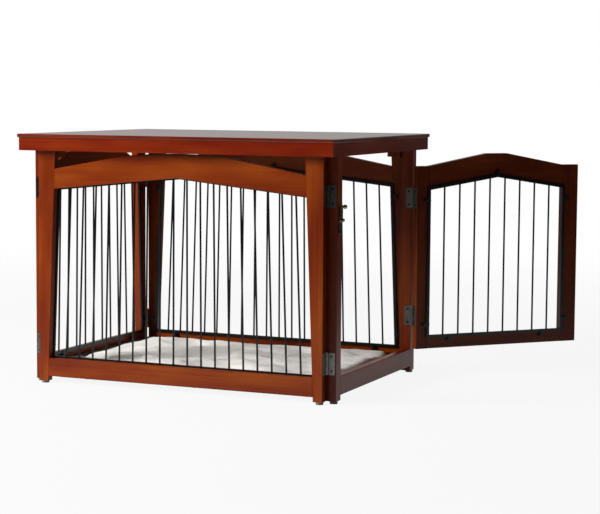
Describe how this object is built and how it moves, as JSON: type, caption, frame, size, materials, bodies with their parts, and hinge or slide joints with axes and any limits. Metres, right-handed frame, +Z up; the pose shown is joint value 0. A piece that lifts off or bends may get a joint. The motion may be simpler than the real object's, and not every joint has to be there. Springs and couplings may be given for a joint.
{
  "type": "dog crate end table",
  "caption": "Folding wood-framed pet crate with wire grilles, a hinged side door on a turn latch, a moulded floor tray with a soft pad, and a lift-off table top.",
  "frame": {"origin": "on the floor, under the middle of the whole part (bounding box of the crate with its door open as at rest)", "axes": "+Z up; +X from the closed left end to the doorway end; +Y from the front panel to the back panel"},
  "size_m": [1.1588, 0.9048, 0.61],
  "materials": {
    "panel_timber": "semi-gloss stain",
    "table_timber": "semi-gloss stain",
    "black_wire": "satin powder coat",
    "black_fastener": "satin",
    "hinge_steel": "brushed",
    "glide_plastic": "matte",
    "aged_nickel": "antique plated",
    "black_moulding": "fine texture",
    "cream_fabric": "soft woven"
  },
  "bodies": {
    "front_panel": {"front_left_stile": "panel_timber", "front_right_stile": "panel_timber", "front_top_rail": "panel_timber", "front_bottom_rail": "panel_timber", "front_grille": "black_wire", "front_grille_clips": "black_fastener", "front_hinge_leaves": "hinge_steel", "front_screws": "hinge_steel", "front_glides": "glide_plastic", "front_hinge_pins": "hinge_steel"},
    "back_panel": {"back_left_stile": "panel_timber", "back_right_stile": "panel_timber", "back_top_rail": "panel_timber", "back_bottom_rail": "panel_timber", "back_grille": "black_wire", "back_grille_clips": "black_fastener", "back_hinge_leaves": "hinge_steel", "back_screws": "hinge_steel", "back_glides": "glide_plastic", "back_hinge_pins": "hinge_steel"},
    "left_panel": {"left_left_stile": "panel_timber", "left_right_stile": "panel_timber", "left_top_rail": "panel_timber", "left_bottom_rail": "panel_timber", "left_grille": "black_wire", "left_grille_clips": "black_fastener", "left_hinge_leaves": "hinge_steel", "left_screws": "hinge_steel", "left_glides": "glide_plastic"},
    "right_panel": {"right_front_stile": "panel_timber", "right_back_stile": "panel_timber", "right_bottom_rail": "panel_timber", "right_hinge_leaves": "hinge_steel", "doorway_hinge_leaves": "hinge_steel", "right_screws": "hinge_steel", "right_glides": "glide_plastic", "door_hinge_pins": "hinge_steel", "latch_plate": "aged_nickel", "latch_pivot_screw": "aged_nickel"},
    "door": {"door_free_stile": "panel_timber", "door_hinge_stile": "panel_timber", "door_top_rail": "panel_timber", "door_bottom_rail": "panel_timber", "door_grille": "black_wire", "door_grille_clips": "black_fastener", "door_hinge_leaves": "hinge_steel", "door_screws": "hinge_steel", "latch_keeper": "aged_nickel"},
    "latch_arm": {"latch_arm": "aged_nickel", "latch_knob": "aged_nickel"},
    "upper_closing_pin": {"upper_closing_pin": "hinge_steel"},
    "lower_closing_pin": {"lower_closing_pin": "hinge_steel"},
    "table_top": {"top_cap_board": "table_timber", "top_apron_front": "table_timber", "top_apron_back": "table_timber", "top_apron_ends": "table_timber", "top_bearers": "table_timber", "top_locating_blocks": "table_timber"},
    "floor_tray": {"floor_tray": "black_moulding"},
    "floor_pad": {"floor_pad": "cream_fabric"}
  },
  "joints": [
    {"name": "front_left_corner", "type": "hinge", "parent": "front_panel", "child": "left_panel", "pos_m": [-0.54193, -0.39389, 0.286], "axis": [0, 0, 1], "range_deg": [0, 90]},
    {"name": "front_right_corner", "type": "hinge", "parent": "front_panel", "child": "right_panel", "pos_m": [0.21107, -0.39389, 0.286], "axis": [0, 0, -1], "range_deg": [0, 90]},
    {"name": "back_left_corner", "type": "hinge", "parent": "left_panel", "child": "back_panel", "pos_m": [-0.54193, 0.14411, 0.286], "axis": [0, 0, 1], "range_deg": [0, 90]},
    {"name": "door_swing", "type": "hinge", "parent": "right_panel", "child": "door", "pos_m": [0.23707, 0.11111, 0.298], "axis": [0, 0, 1], "range_deg": [-136, 44]},
    {"name": "latch_turn", "type": "hinge", "parent": "right_panel", "child": "latch_arm", "pos_m": [0.23637, -0.37739, 0.424], "axis": [-1, 0, 0], "range_deg": [0, 90]},
    {"name": "upper_pin_draw", "type": "slide", "parent": "right_panel", "child": "upper_closing_pin", "axis": [0, 0, 1], "range_m": [-0.035, 0]},
    {"name": "lower_pin_draw", "type": "slide", "parent": "right_panel", "child": "lower_closing_pin", "axis": [0, 0, 1], "range_m": [-0.035, 0]},
    {"name": "top_lift", "type": "slide", "parent": "front_panel", "child": "table_top", "axis": [0, 0, 1], "range_m": [0, 0.06]},
    {"name": "tray_lift", "type": "slide", "parent": "front_panel", "child": "floor_tray", "axis": [0, 0, 1], "range_m": [0, 0.42]},
    {"name": "pad_lift", "type": "slide", "parent": "floor_tray", "child": "floor_pad", "axis": [0, 0, 1], "range_m": [0, 0.07]}
  ]
}
